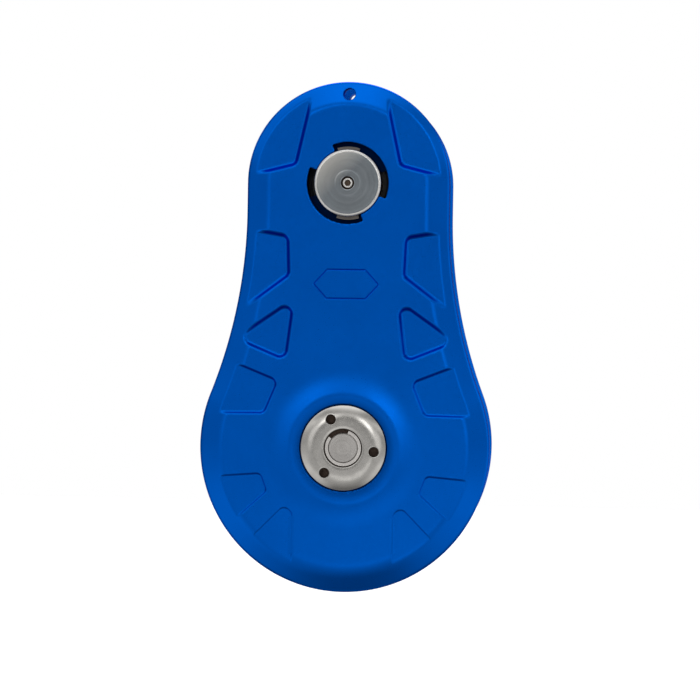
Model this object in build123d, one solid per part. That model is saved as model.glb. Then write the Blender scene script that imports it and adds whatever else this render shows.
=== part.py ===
from build123d import *
import os
from math import cos, pi, radians, sin, sqrt

# A rigging block: a grooved sheave on a needle bearing between two pear-shaped cheek plates. A sling
# sits on a bushing round the lock stud above the sheave. The rear plate swings about the main axle.
#
# Millimetres. The origin is the centre of the rope groove: on the main axle, midway between the
# plates. +Z points up to the lock stud, +X to the right as seen from the front, and the front plate
# is on the -Y side. Every piece is drawn lying down, with w (local Z) as its height in front of the
# middle plane, and is then stood up by Plane.XZ, which turns w into -Y.

# ---- cheek plates ----
stud_height = 110.0  # from the main axle to the lock stud
top_radius = 42.2
bottom_radius = 60.5
flare_start = 98.0  # height where the straight sides start to flare
plate_inner = 13.0  # w of a plate's inner face
plate_outer = 23.0  # w of a plate's flat outer face
flank_width = 9.15  # sloping border round the flat face
flank_drop = 4.5
land_round = 1.0  # edge between the flank and the plate's rim
inner_chamfer = 1.0
sheave_recess_radius = 54.5
sheave_recess_floor = 14.5
lanyard_height = 146.9
lanyard_radius = 2.5

# ---- raised ring round each hub ----
swell_foot_radius = 34.0
swell_shoulder_radius = 24.0  # where the gentle rise meets the rounded crest
swell_shoulder_height = 1.07
swell_lip_radius = 18.6
swell_lip_height = 0.65

# ---- hub, axle and bearing ----
hub_radius = 18.0
hub_flat_radius = 11.5
hub_top = 25.4
hub_rim = 23.6  # w where the domed rim ends
hub_seat = 21.0
boss_radius = 12.0
front_hub_clearance = 0.15
rear_hub_clearance = 0.3
bush_thickness = 1.5  # the plastic bush that the rear plate turns on
ring_recess_radius = 8.0
ring_recess_floor = 23.2
spanner_circle_radius = 12.9
spanner_hole_radius = 2.1
spanner_hole_angles = (113.8, 233.8, 353.8)
spanner_hole_floor = 21.8
axle_radius = 6.2
axle_end = 25.2
axle_fit = 0.05  # radial clearance of the hubs and the inner race on the axle
ring_groove_radius = 5.7
ring_inner_w = 23.3
ring_thickness = 1.0
snap_ring_radius = 7.5
snap_ring_gap = (73.0, 142.0)  # degrees, both ends of its gap
roller_count = 14
roller_radius = 1.95
roller_circle_radius = 14.0
roller_half_length = 8.5
cage_inner_radius = 12.7
cage_outer_radius = 15.3
cage_half_length = 9.8
race_inner_radius = 16.0
race_outer_radius = 19.0
race_half_length = 12.6
seal_low = 10.2
seal_high = 12.4
washer_radius = 20.0
washer_low = 13.3
washer_high = 14.4

# ---- sheave ----
sheave_radius = 53.0
groove_radius = 8.5
groove_bottom_radius = 40.5
groove_side_angle = 78.0  # degrees from the groove's bottom to where its arc ends
lip_round = 0.9
lip_inner_w = 10.9
rim_half_width = 13.6
rim_inner_radius = 37.5
web_outer_radius = 34.0
web_inner_radius = 25.0
core_radius = 22.5
core_half_width = 13.1
web_half_width = 8.0

# ---- lock stud, button and sling bushing ----
stud_neck_radius = 7.0
stud_shoulder_radius = 10.0
stud_shoulder_back = -10.8
stud_shoulder_front = 0.7
flange_radius = 13.0
flange_front = -23.1
flange_back = -26.0
cap_radius = 13.94
cap_top = 23.7
cap_back = 20.2
cap_chamfer = 0.7
screw_head_radius = 2.1
screw_head_top = 23.2
screw_shank_radius = 1.5
screw_end = 9.0
socket_floor = 22.0
counterbore_radius = 2.75
counterbore_floor = 21.4
collar_radius = 14.02
collar_back = 15.0
collar_tail_radius = 11.0
collar_tail_back = 13.3
collar_neck_radius = 13.5
lug_radius = 15.2
lug_half_angle = 18.0
lug_front = 20.1
lug_back = 17.9
key_pin_w = 16.45
key_pin_radius = 1.15
key_pin_reach = 13.4
ledge_floor = 15.8  # the lugs stop here when the button is pressed in
bore_radius = 14.1
notch_radius = 17.0
notch_angles = (-22.0, 20.0)  # degrees, cut right through the plate
ledge_angles = (20.0, 113.0)  # degrees, the lugs turn over this ledge
slot_half_width = 7.3
slot_end_angle = 125.0  # degrees about the main axle, past the plate's left side
sleeve_radius = 13.6
sleeve_half_length = 12.8
spring_pocket_radius = 11.6
spring_pocket_floor = 0.85
liner_inner_radius = 13.65
liner_outer_radius = 15.5
bushing_waist_radius = 20.0
bushing_flange_radius = 23.0
bushing_half_length = 12.5
bushing_edge = 1.0
liner_half_length = 12.4
spring_radius = 9.2
spring_wire_radius = 0.75
spring_turns = 4.5
spring_low = 0.95
spring_high = 12.0
seat_radius = 11.2
seat_low = 12.1
seat_high = 13.25

# One side's pockets in the plate's face: floor depth, corner radius and corners. The outer corners
# lie past the flank, so each floor runs out where it meets the sloping flank.
pockets = [
    (2.8, 3.0, [(-14.5, 150.1), (-21.8, 117.6), (-51.8, 109.9), (-51.8, 150.1)]),
    (2.45, 3.2, [(-24.6, 87.7), (-45.8, 91.3), (-45.8, 55.0), (-24.0, 71.6)]),
    (2.0, 3.0, [(-21.7, 61.5), (-45.7, 44.8), (-24.9, 36.2)]),
    (1.35, 2.8, [(-27.9, 27.5), (-61.8, 41.0), (-61.8, 13.6), (-33.5, 14.0)]),
    (0.8, 2.4, [(-34.5, -11.2), (-63.7, -13.6), (-63.7, -47.7), (-31.7, -18.5)]),
    (0.55, 2.8, [(-24.3, -24.2), (-49.8, -50.0), (-21.0, -59.3), (-21.0, -27.5)]),
]


def turned(points):
    """A solid of revolution about w from a closed outline of (radius, w) points."""
    outline = Polyline(*[(r, 0, w) for r, w in points], close=True)
    return revolve(make_face(outline), Axis.Z)


def ring(inner, outer, low, high):
    """A plain ring from w low to w high."""
    return Pos(0, 0, low) * extrude(Circle(outer) - Circle(inner), high - low)


def disc(radius, low, high):
    """A plain disc from w low to w high."""
    return Pos(0, 0, low) * extrude(Circle(radius), high - low)


def sector(inner, outer, angles, low, high):
    """A block of a ring between two angles, in degrees anticlockwise from +X."""
    start, end = [radians(a) for a in angles]
    middle = (start + end) / 2
    outer_arc = ThreePointArc(*[(outer * cos(a), outer * sin(a)) for a in (start, middle, end)])
    inner_arc = ThreePointArc(*[(inner * cos(a), inner * sin(a)) for a in (end, middle, start)])
    sides = [Line(outer_arc @ 1, inner_arc @ 0), Line(inner_arc @ 1, outer_arc @ 0)]
    return Pos(0, 0, low) * extrude(make_face([outer_arc, inner_arc, *sides]), high - low)


def plate_outline():
    """Top arc, straight sides, concave flares and bottom arc, all tangent."""
    flare = (top_radius**2 + flare_start**2 - bottom_radius**2) / (2 * (bottom_radius - top_radius))
    centre_x = top_radius + flare
    reach = sqrt(centre_x**2 + flare_start**2)
    foot_x = bottom_radius * centre_x / reach
    foot_z = bottom_radius * flare_start / reach
    top = ThreePointArc((top_radius, stud_height), (0, stud_height + top_radius), (-top_radius, stud_height))
    bottom = ThreePointArc((-foot_x, foot_z), (0, -bottom_radius), (foot_x, foot_z))
    left_side = Line((-top_radius, stud_height), (-top_radius, flare_start))
    left_flare = TangentArc((-top_radius, flare_start), (-foot_x, foot_z), tangent=(0, -1))
    right_side = Line((top_radius, flare_start), (top_radius, stud_height))
    right_flare = TangentArc((top_radius, flare_start), (foot_x, foot_z), tangent=(0, -1))
    return make_face([top, left_side, left_flare, bottom, right_flare, right_side])


def plate_blank():
    """A solid plate with its sloping border, before anything is cut out of it."""
    blank = Pos(0, 0, plate_inner) * extrude(plate_outline(), plate_outer - plate_inner)
    face = blank.faces().sort_by(Axis.Z)[-1]
    blank = chamfer(face.edges(), length=flank_width, length2=flank_drop, reference=face)
    rim_edges = blank.edges().filter_by_position(Axis.Z, plate_outer - flank_drop, plate_outer - flank_drop)
    blank = fillet(rim_edges, land_round)
    inner_face = blank.faces().sort_by(Axis.Z)[0]
    return chamfer(inner_face.edges(), inner_chamfer)


def pocket_cutters():
    """The pockets of both sides, mirror images of each other."""
    cutters = []
    for depth, corner_radius, corners in pockets:
        outline = make_face(Polyline(*corners, close=True))
        outline = fillet(outline.vertices(), corner_radius)
        left = Pos(0, 0, plate_outer - depth) * extrude(outline, 2 * depth)
        cutters += [left, mirror(left, Plane.YZ)]
    return cutters


def swell():
    """The soft ring round the hub: a gentle rise, then a rounded crest that falls to the hub's edge."""
    foot = (swell_foot_radius, 0, plate_outer)
    shoulder = (swell_shoulder_radius, 0, plate_outer + swell_shoulder_height)
    lip = (swell_lip_radius, 0, plate_outer + swell_lip_height)
    rise = TangentArc(foot, shoulder, tangent=(-1, 0, 0))
    crest = TangentArc(shoulder, lip, tangent=rise % 1)
    low = plate_outer - 1
    close = Polyline(lip, (swell_lip_radius, 0, low), (swell_foot_radius, 0, low), foot)
    return revolve(make_face([rise, crest, close]), Axis.Z)


def cheek_plate(hub_clearance, bore):
    """What the two plates share: border, pockets, ring, hub seat, sheave recess and lanyard hole."""
    plate = plate_blank()
    plate = plate - pocket_cutters()
    plate = plate + swell()
    plate = plate - disc(hub_radius + hub_clearance, hub_seat - hub_clearance / 3, plate_outer + 5)
    plate = plate - disc(bore, plate_inner - 1, plate_outer)
    plate = plate - disc(sheave_recess_radius, plate_inner - 1, sheave_recess_floor)
    return plate - Pos(0, lanyard_height, 0) * disc(lanyard_radius, plate_inner - 1, plate_outer + 1)


def front_cheek():
    """The fixed plate, with the bayonet opening that the button's lugs turn in."""
    plate = cheek_plate(front_hub_clearance, boss_radius)
    opening = disc(bore_radius, plate_inner - 1, plate_outer + 1)
    for turn in (0, 180):
        notch = sector(bore_radius / 2, notch_radius, notch_angles, plate_inner - 1, plate_outer + 1)
        ledge = sector(bore_radius / 2, notch_radius, ledge_angles, ledge_floor, plate_outer + 1)
        opening = opening + Rot(0, 0, turn) * (notch + ledge)
    return plate - Pos(0, stud_height, 0) * opening


def rear_cheek():
    """The swinging plate. Its arc slot lets it swing off the stud's neck to the right."""
    plate = cheek_plate(rear_hub_clearance, boss_radius + bush_thickness)
    inner, outer = stud_height - slot_half_width, stud_height + slot_half_width
    slot = sector(inner, outer, (90, slot_end_angle), plate_inner - 1, plate_outer + 1)
    slot = slot + Pos(0, stud_height, 0) * disc(slot_half_width, plate_inner - 1, plate_outer + 1)
    return plate - slot


def hub():
    """The domed steel hub: a boss through the plate, and a recess for the snap ring."""
    dome = TangentArc((hub_flat_radius, 0, hub_top), (hub_radius, 0, hub_rim), tangent=(1, 0, 0))
    corners = [
        (hub_radius, hub_rim),
        (hub_radius, hub_seat),
        (boss_radius, hub_seat),
        (boss_radius, plate_inner),
        (axle_radius + axle_fit, plate_inner),
        (axle_radius + axle_fit, ring_recess_floor),
        (ring_recess_radius, ring_recess_floor),
        (ring_recess_radius, hub_top),
        (hub_flat_radius, hub_top),
    ]
    outline = Polyline(*[(r, 0, w) for r, w in corners])
    body = revolve(make_face([dome, outline]), Axis.Z)
    for angle in spanner_hole_angles:
        hole = Pos(spanner_circle_radius, 0, 0) * disc(spanner_hole_radius, spanner_hole_floor, hub_top + 1)
        body = body - Rot(0, 0, angle) * hole
    return body


def snap_ring():
    """An open round ring in the axle's groove."""
    ring_outer_w = ring_inner_w + ring_thickness
    whole = ring(ring_groove_radius + 0.02, snap_ring_radius, ring_inner_w, ring_outer_w)
    gap = sector(ring_groove_radius / 2, 2 * snap_ring_radius, snap_ring_gap, ring_inner_w - 1, ring_outer_w + 1)
    return whole - gap


def main_axle():
    """A plain pin with a snap ring groove at each end."""
    pin = disc(axle_radius, -axle_end, axle_end)
    pin = chamfer(pin.edges(), 0.4)
    groove = ring(ring_groove_radius, axle_radius + 1, ring_inner_w - 0.05, ring_inner_w + ring_thickness + 0.05)
    return pin - groove - mirror(groove, Plane.XY)


def round_the_race(piece):
    """A copy of the piece at each needle roller's place."""
    angles = [2 * pi * n / roller_count for n in range(roller_count)]
    places = [Pos(roller_circle_radius * cos(a), roller_circle_radius * sin(a), 0) for a in angles]
    return [place * piece for place in places]


def needle_rollers():
    """All the rollers of the main bearing, as separate solids."""
    roller = chamfer(disc(roller_radius, -roller_half_length, roller_half_length).edges(), 0.3)
    return Compound([copy.solid() for copy in round_the_race(roller)])


def roller_cage():
    """A ring with a window for each roller."""
    cage = ring(cage_inner_radius, cage_outer_radius, -cage_half_length, cage_half_length)
    window_half_length = roller_half_length + 0.2
    window = disc(roller_radius + 0.15, -window_half_length, window_half_length)
    return cage - round_the_race(window)


def sheave():
    """The grooved wheel, thinned between its core and its rim."""
    centre_radius = groove_bottom_radius + groove_radius
    side = radians(groove_side_angle)
    shoulder_r = centre_radius - groove_radius * cos(side)
    shoulder_w = groove_radius * sin(side)
    lip_radius = sheave_radius - lip_round
    groove = ThreePointArc(
        (shoulder_r, 0, -shoulder_w), (groove_bottom_radius, 0, 0), (shoulder_r, 0, shoulder_w)
    )
    half = [
        (shoulder_r, shoulder_w),
        (lip_radius, lip_inner_w),
        (sheave_radius, lip_inner_w + lip_round),
        (sheave_radius, rim_half_width - lip_round),
        (lip_radius, rim_half_width),
        (rim_inner_radius, rim_half_width),
        (web_outer_radius, web_half_width),
        (web_inner_radius, web_half_width),
        (core_radius, core_half_width),
        (race_outer_radius, core_half_width),
    ]
    upper = [(r, 0, w) for r, w in half]
    lower = [(r, 0, -w) for r, w in reversed(half)]
    return revolve(make_face([groove, Polyline(*upper, *lower)]), Axis.Z)


def key_pin_hole(radius, half_length):
    """A cylinder across the stud, where the pin keys the lug collar to it."""
    return Pos(0, 0, key_pin_w) * Rot(0, 90, 0) * Cylinder(radius, 2 * half_length)


def lock_stud():
    """Rear clamping flange, neck in the rear plate's slot, shoulder in the sleeve, and front neck."""
    edge = 1.2
    body = turned(
        [
            (0, flange_back),
            (flange_radius - edge, flange_back),
            (flange_radius, flange_back + edge),
            (flange_radius, flange_front),
            (stud_neck_radius, flange_front),
            (stud_neck_radius, stud_shoulder_back),
            (stud_shoulder_radius, stud_shoulder_back),
            (stud_shoulder_radius, stud_shoulder_front),
            (stud_neck_radius, stud_shoulder_front),
            (stud_neck_radius, lug_front),
            (0, lug_front),
        ]
    )
    body = body - disc(screw_shank_radius + 0.05, screw_end - 2, lug_front + 1)
    return body - key_pin_hole(key_pin_radius + 0.05, 2 * stud_neck_radius)


def collar_pin():
    """The key pin in two halves, set in from the collar's skin, with the cap's screw between them."""
    whole = key_pin_hole(key_pin_radius, key_pin_reach)
    gap = disc(screw_shank_radius + 0.4, key_pin_w - 2 * key_pin_radius, key_pin_w + 2 * key_pin_radius)
    return Compound((whole - gap).solids())


def lug_collar():
    """The bayonet collar: a barrel in the front plate's bore, with two lugs over its ledges."""
    body = turned(
        [
            (stud_neck_radius + 0.02, collar_tail_back),
            (collar_tail_radius, collar_tail_back),
            (collar_tail_radius, collar_back),
            (collar_radius, collar_back),
            (collar_radius, lug_back),
            (collar_neck_radius, lug_back + 0.5),
            (collar_neck_radius, lug_front),
            (stud_neck_radius + 0.02, lug_front),
        ]
    )
    for centre in (90, 270):
        angles = (centre - lug_half_angle, centre + lug_half_angle)
        body = body + sector(collar_tail_radius, lug_radius, angles, lug_back, lug_front)
    return body - key_pin_hole(key_pin_radius + 0.05, 2 * collar_radius)


def button_cap():
    """The round thumb button, counterbored for its screw."""
    cap = disc(cap_radius, cap_back, cap_top)
    cap = chamfer(cap.edges().sort_by(Axis.Z)[-1], cap_chamfer)
    cap = cap - disc(counterbore_radius, counterbore_floor, cap_top + 1)
    cap = cap - disc(screw_shank_radius + 0.1, cap_back - 1, counterbore_floor)
    rims = cap.edges().filter_by(GeomType.CIRCLE).sort_by(Axis.Z)[-2:]
    return chamfer(rims.sort_by(SortBy.RADIUS)[0], 0.3)


def cap_screw():
    """A small socket screw: it holds the cap and the collar on the stud."""
    head = fillet(disc(screw_head_radius, counterbore_floor, screw_head_top).edges().sort_by(Axis.Z)[-1], 0.3)
    socket = Pos(0, 0, socket_floor) * extrude(RegularPolygon(1.25, 6, major_radius=False), 2)
    return head + disc(screw_shank_radius, screw_end, counterbore_floor) - socket


def spring_seat():
    """The washer between the spring and the collar's tail."""
    return ring(stud_neck_radius + 0.2, seat_radius, seat_low, seat_high)


def lock_spring():
    """The coil that pushes the button forwards."""
    rise = spring_high - spring_low - 2 * spring_wire_radius
    path = Helix(rise / spring_turns, rise, spring_radius)
    section = Plane(origin=path @ 0, x_dir=(1, 0, 0), z_dir=path % 0) * Circle(spring_wire_radius)
    return Pos(0, 0, spring_low + spring_wire_radius) * sweep(section, path, is_frenet=True)


def stud_sleeve():
    """The fixed tube that spaces the plates, bored out at the front for the spring."""
    body = ring(stud_shoulder_radius + 0.08, sleeve_radius, -sleeve_half_length, sleeve_half_length)
    return body - disc(spring_pocket_radius, spring_pocket_floor, sleeve_half_length + 1)


def sling_bushing():
    """The spool that the sling's eye sits on, free to turn on its liner."""
    end, waist = bushing_half_length, bushing_waist_radius
    flange, edge = bushing_flange_radius, bushing_edge
    saddle = ThreePointArc((flange, 0, edge - end), (waist, 0, 0), (flange, 0, end - edge))
    rest = Polyline(
        (flange, 0, end - edge),
        (flange - edge, 0, end),
        (liner_outer_radius, 0, end),
        (liner_outer_radius, 0, -end),
        (flange - edge, 0, -end),
        (flange, 0, edge - end),
    )
    return revolve(make_face([saddle, rest]), Axis.Z)


def on_stud(piece):
    """Moves a piece from the main axle's line to the lock stud's."""
    return Pos(0, stud_height, 0) * piece


def behind(piece):
    """The mirror image of a front piece, behind the middle plane."""
    return mirror(piece, Plane.XY)


front_washer = ring(boss_radius + 0.3, washer_radius, washer_low, washer_high)
front_seal = ring(boss_radius + 0.3, race_inner_radius - 0.02, seal_low, seal_high)
rear_bush = behind(ring(boss_radius + 0.08, boss_radius + bush_thickness, washer_high + 0.2, hub_seat - 0.2))
inner_race = ring(axle_radius + axle_fit, boss_radius, -plate_inner, plate_inner)
outer_race = ring(race_inner_radius, race_outer_radius, -race_half_length, race_half_length)
liner = ring(liner_inner_radius, liner_outer_radius, -liner_half_length, liner_half_length)

nodes = {
    "front_cheek": front_cheek(),
    "rear_cheek": behind(rear_cheek()),
    "rear_cheek_bush": rear_bush,
    "front_hub": hub(),
    "rear_hub": behind(hub()),
    "main_axle": main_axle(),
    "front_snap_ring": snap_ring(),
    "rear_snap_ring": behind(snap_ring()),
    "bearing_inner_race": inner_race,
    "bearing_outer_race": outer_race,
    "needle_rollers": needle_rollers(),
    "roller_cage": roller_cage(),
    "front_bearing_seal": front_seal,
    "rear_bearing_seal": behind(front_seal),
    "front_thrust_washer": front_washer,
    "rear_thrust_washer": behind(front_washer),
    "sheave": sheave(),
    "lock_stud": on_stud(lock_stud()),
    "lug_collar": on_stud(lug_collar()),
    "collar_pin": on_stud(collar_pin()),
    "button_cap": on_stud(button_cap()),
    "cap_screw": on_stud(cap_screw()),
    "spring_seat": on_stud(spring_seat()),
    "lock_spring": on_stud(lock_spring()),
    "stud_sleeve": on_stud(stud_sleeve()),
    "sling_bushing": on_stud(sling_bushing()),
    "bushing_liner": on_stud(liner),
}

os.makedirs("parts", exist_ok=True)
for name, piece in nodes.items():
    export_step(Plane.XZ * piece, f"parts/{name}.step")
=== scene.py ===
import math

import bmesh
import bpy
import numpy as np
from mathutils import Matrix, Vector, geometry


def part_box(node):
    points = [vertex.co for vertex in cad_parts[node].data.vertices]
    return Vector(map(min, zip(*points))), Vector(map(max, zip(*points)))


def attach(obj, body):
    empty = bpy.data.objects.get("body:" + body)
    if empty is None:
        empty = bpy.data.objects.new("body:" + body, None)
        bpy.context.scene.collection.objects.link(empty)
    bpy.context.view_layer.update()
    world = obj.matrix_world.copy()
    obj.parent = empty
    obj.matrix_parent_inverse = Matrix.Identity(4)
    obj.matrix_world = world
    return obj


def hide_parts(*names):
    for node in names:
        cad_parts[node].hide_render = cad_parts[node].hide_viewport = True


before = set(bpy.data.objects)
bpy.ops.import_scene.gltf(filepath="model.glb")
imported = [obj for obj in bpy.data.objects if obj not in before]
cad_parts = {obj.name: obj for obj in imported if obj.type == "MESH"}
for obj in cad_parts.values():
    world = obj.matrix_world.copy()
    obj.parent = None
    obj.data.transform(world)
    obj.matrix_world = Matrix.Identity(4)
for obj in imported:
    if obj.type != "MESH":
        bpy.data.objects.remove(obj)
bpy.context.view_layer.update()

# A twin-plate rigging block in a plain studio. Plans are in millimetres, as (x, z) seen from the
# front, and w is a distance out from the middle plane, to the front or to the rear.
# Shell.object turns plans and w into metres.

MM = 0.001
FRONT, REAR = -1, 1  # the sign of y on each side of the middle plane


def corner_mm(node, end):
    """A corner of a CAD node's box in millimetres: end 0 is the lowest, 1 the highest."""
    return np.array(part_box(node)[end]) / MM


# ---- plate, read from the frame where a box gives it ----
plate_low, plate_high = corner_mm("front_cheek", 0), corner_mm("front_cheek", 1)
STUD_Z = float(corner_mm("button_cap", 0)[2] + corner_mm("button_cap", 1)[2]) / 2
TOP_R = float(plate_high[2]) - STUD_Z
BOTTOM_R = -float(plate_low[2])
FLARE_Z = 98.0
FLARE_R = (TOP_R**2 + FLARE_Z**2 - BOTTOM_R**2) / (2 * (BOTTOM_R - TOP_R))
FLARE_X = TOP_R + FLARE_R
INNER = 13.0
FACE = 23.0
FLANK_WIDTH = 9.15
FLANK_DROP = 4.5
RECESS_R = 54.5
RECESS_W = 14.5
LAND_ROUND = 1.0  # radius of the rounded edge along the outline
INNER_CHAMFER = 1.0
HOLE_ROUND, HUB_HOLE_ROUND = 0.4, 0.45
LANYARD_Z = 146.9
LANYARD_R = 2.5
# The crease between face and flank is softest at the plate's lower end.
CREASE_SOFTNESS, CREASE_ADDED, CREASE_START_Z, CREASE_RUN = 0.6, 1.2, -15, 40
# The swell round the hub: an arc up from its foot, one over its crest, and a gentler one to the hub.
SWELL_FOOT_R, SWELL_SHOULDER_R = 34.0, 24.0
SWELL_FOOT_ARC, SWELL_CREST_ARC = 47.265, 9.446
SWELL_CREST_R, SWELL_CREST_RISE, SWELL_INNER_ARC = 22.003, 1.2836, 34.0
LEDGE_W = 15.8
# The front plate's bayonet opening. Its lower part is a hair smaller, so that no two walls coincide.
BORE_R, NOTCH_R, OPENING_STEP = 14.1, 17.0, 0.02
# The rear plate's arc slot: half its width, its lower limit, and limits of its mouth and its end.
SLOT_HALF, SLOT_LOW_Z, SLOT_MOUTH_X, SLOT_END_X = 7.3, 60, -10, 10

# ---- hub ----
HUB_R, HUB_FLAT_R, HUB_TOP, HUB_RIM, HUB_SEAT = 18.0, 11.5, 25.4, 23.6, 21.0
HUB_HOLE_R = HUB_R + 0.15
SEAT_W = HUB_SEAT - 0.05
HUB_ROUND, RING_RECESS_ROUND, SPANNER_ROUND = 0.4, 0.35, 0.18
BOSS_R, BUSH_R, RING_RECESS_R, RING_RECESS_W = 12.0, 13.52, 8.0, 23.2
SPANNER_CIRCLE_R, SPANNER_R, SPANNER_W = 12.9, 2.1, 21.8
SPANNER_ANGLES = (113.8, 233.8, 353.8)
SPANNER_SHADE_W = 24.6
AXLE_HOLE_R = 6.25

# ---- button cap ----
CAP_R, CAP_TOP, CAP_BACK, CAP_CHAMFER = 13.94, 23.7, 20.2, 0.7
CAP_RIM, CAP_CROWN = 1.05, 0.35
COUNTERBORE_R, COUNTERBORE_W, SCREW_HOLE_R = 2.75, 21.4, 1.6
SCREW_BRIGHT_W, SCREW_DARK_W = 22.9, 22.6  # the painted shade in the socket begins and is complete at these

# One side's pockets: floor depth, corner radius and corners, as in the CAD part.
POCKETS = [
    (2.8, 3.0, [(-14.5, 150.1), (-21.8, 117.6), (-51.8, 109.9), (-51.8, 150.1)]),
    (2.45, 3.2, [(-24.6, 87.7), (-45.8, 91.3), (-45.8, 55.0), (-24.0, 71.6)]),
    (2.0, 3.0, [(-21.7, 61.5), (-45.7, 44.8), (-24.9, 36.2)]),
    (1.35, 2.8, [(-27.9, 27.5), (-61.8, 41.0), (-61.8, 13.6), (-33.5, 14.0)]),
    (0.8, 2.4, [(-34.5, -11.2), (-63.7, -13.6), (-63.7, -47.7), (-31.7, -18.5)]),
    (0.55, 2.8, [(-24.3, -24.2), (-49.8, -50.0), (-21.0, -59.3), (-21.0, -27.5)]),
]
# A pocket's wall is as wide as WALL_WIDTH, or narrower where WALL_SLOPE makes it steeper.
WALL_WIDTH, WALL_SLOPE = 1.15, 1.8
# The fillets at its floor and its brow grow with the depth. The brow's is small near the floor.
FILLET_LEAST, FILLET_SHARE, BROW_LEAST = 0.1, 0.6, 0.3
BADGE = [(-13.5, 68.0), (-8.0, 74.0), (8.0, 74.0), (13.5, 68.0), (8.0, 62.0), (-8.0, 62.0)]
BADGE_DEPTH, BADGE_HALF_LINE = 0.34, 0.42
BADGE_Z, BADGE_NEAR_X, BADGE_NEAR_Z = 68, 16, 9  # the region that the badge line keeps within
HUB_SHADE_RING, HUB_SHADE_SHARE = 3.4, 0.5  # the ring of painted shade on the anodising next to the hub: its width and how dark it goes
WALL_REACH = 0.02  # how far past a hole's wall its paint reaches


# ======================= plans: closed loops of (x, z) =======================


def arc(centre, radius, start, end, step=3.0):
    """Points on an arc, in degrees anticlockwise, both ends included."""
    count = max(2, round(abs(end - start) / step) + 1)
    angles = np.radians(np.linspace(start, end, count))
    return np.column_stack([centre[0] + radius * np.cos(angles), centre[1] + radius * np.sin(angles)])


def circle(centre, radius, count):
    """A closed ring of points."""
    return arc(centre, radius, 0, 360 * (1 - 1 / count), 360 / count)


def closed(*runs):
    """Joins runs into one loop and drops repeated points."""
    loop = np.vstack(runs)
    apart = np.hypot(*(loop - np.roll(loop, 1, axis=0)).T) > 1e-4
    return loop[apart]


def rounded(loop, corners, radius, steps=5):
    """The loop with each named corner replaced by a small curve."""
    for corner in corners:
        corner = np.array(corner)
        away = np.hypot(*(loop - corner).T) > radius + 1e-6
        start = int(np.flatnonzero(away & ~np.roll(away, 1))[0])
        loop, away = np.roll(loop, -start, axis=0), np.roll(away, -start)
        kept = loop[away]
        ways = [p - corner for p in (kept[-1], kept[0])]
        entry, leave = [corner + radius * way / np.hypot(*way) for way in ways]
        t = np.linspace(0, 1, steps)[:, None]
        loop = np.vstack([kept, (1 - t) ** 2 * entry + 2 * t * (1 - t) * corner + t**2 * leave])
    return loop


def offset(loop, distance):
    """The loop moved to its left by a distance: inwards on an anticlockwise loop."""
    along = np.roll(loop, -1, axis=0) - np.roll(loop, 1, axis=0)
    along /= np.hypot(*along.T)[:, None]
    return loop + distance * np.column_stack([-along[:, 1], along[:, 0]])


def outline(step=0.9):
    """The plate's outline, anticlockwise from the right end of the top arc."""

    def degrees(radius):
        return math.degrees(step / radius)

    foot = math.degrees(math.atan2(FLARE_Z, FLARE_X))
    sides = np.linspace(STUD_Z, FLARE_Z, 24)
    left_side = np.column_stack([-TOP_R + 0 * sides, sides])
    right_side = np.column_stack([TOP_R + 0 * sides, sides[::-1]])
    return closed(
        arc((0, STUD_Z), TOP_R, 0, 180, degrees(TOP_R)),
        left_side,
        arc((-FLARE_X, FLARE_Z), FLARE_R, 0, -foot, degrees(FLARE_R)),
        arc((0, 0), BOTTOM_R, 180 - foot, 360 + foot, degrees(BOTTOM_R)),
        arc((FLARE_X, FLARE_Z), FLARE_R, 180 + foot, 180, degrees(FLARE_R)),
        right_side,
    )


def slotted_outline():
    """The rear plate's outline, cut by the arc slot that opens on its left side."""
    whole = outline()
    reach = np.hypot(whole[:, 0], whole[:, 1])
    cut = (np.abs(reach - STUD_Z) < SLOT_HALF) & (whole[:, 0] < SLOT_MOUTH_X) & (whole[:, 1] > SLOT_LOW_Z)
    start = int(np.flatnonzero(~cut & np.roll(cut, 1))[0])
    kept = np.roll(whole, -start, axis=0)[~np.roll(cut, -start)]
    mouths = []
    for radius in (STUD_Z + SLOT_HALF, STUD_Z - SLOT_HALF):
        z = math.sqrt(radius**2 - TOP_R**2)
        if z > STUD_Z:
            z = (radius**2 + STUD_Z**2 - TOP_R**2) / (2 * STUD_Z)
        mouths.append((-math.sqrt(radius**2 - z**2), z))
    upper_angle, lower_angle = [math.degrees(math.atan2(z, x)) for x, z in mouths]
    slot = closed(
        arc((0, 0), STUD_Z + SLOT_HALF, upper_angle, 90, 0.4),
        arc((0, STUD_Z), SLOT_HALF, 90, -90, 7),
        arc((0, 0), STUD_Z - SLOT_HALF, 90, lower_angle, 0.4),
    )
    return rounded(closed(kept, slot), mouths, 2.5, 7)


def bayonet(runs):
    """A loop about the lock stud from (radius, start, end) runs, with small rounded corners."""
    centre = (0, STUD_Z)
    loop = closed(*[arc(centre, radius, start, end) for radius, start, end in runs])
    corners = []
    for radius, start, end in runs:
        both = arc(centre, radius, start, end)
        corners += [both[0], both[-1]]
    return rounded(loop, corners, 0.7)


# ======================= distances and soft shapes =======================


def outline_distance(x, z):
    """How far inside the plate's outline a point lies."""
    side = np.abs(x)
    top = TOP_R - np.hypot(x, z - STUD_Z)
    flare = np.hypot(FLARE_X - side, z - FLARE_Z) - FLARE_R
    bottom = BOTTOM_R - np.hypot(x, z)
    lower = np.where(z * FLARE_X < side * FLARE_Z, bottom, flare)
    return np.where(z > STUD_Z, top, np.where(z > FLARE_Z, TOP_R - side, lower))


def segment_distance(x, z, a, b):
    """Distance from points to one straight segment."""
    dx, dz = b[0] - a[0], b[1] - a[1]
    t = np.clip(((x - a[0]) * dx + (z - a[1]) * dz) / (dx * dx + dz * dz), 0, 1)
    return np.hypot(x - a[0] - t * dx, z - a[1] - t * dz)


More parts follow.
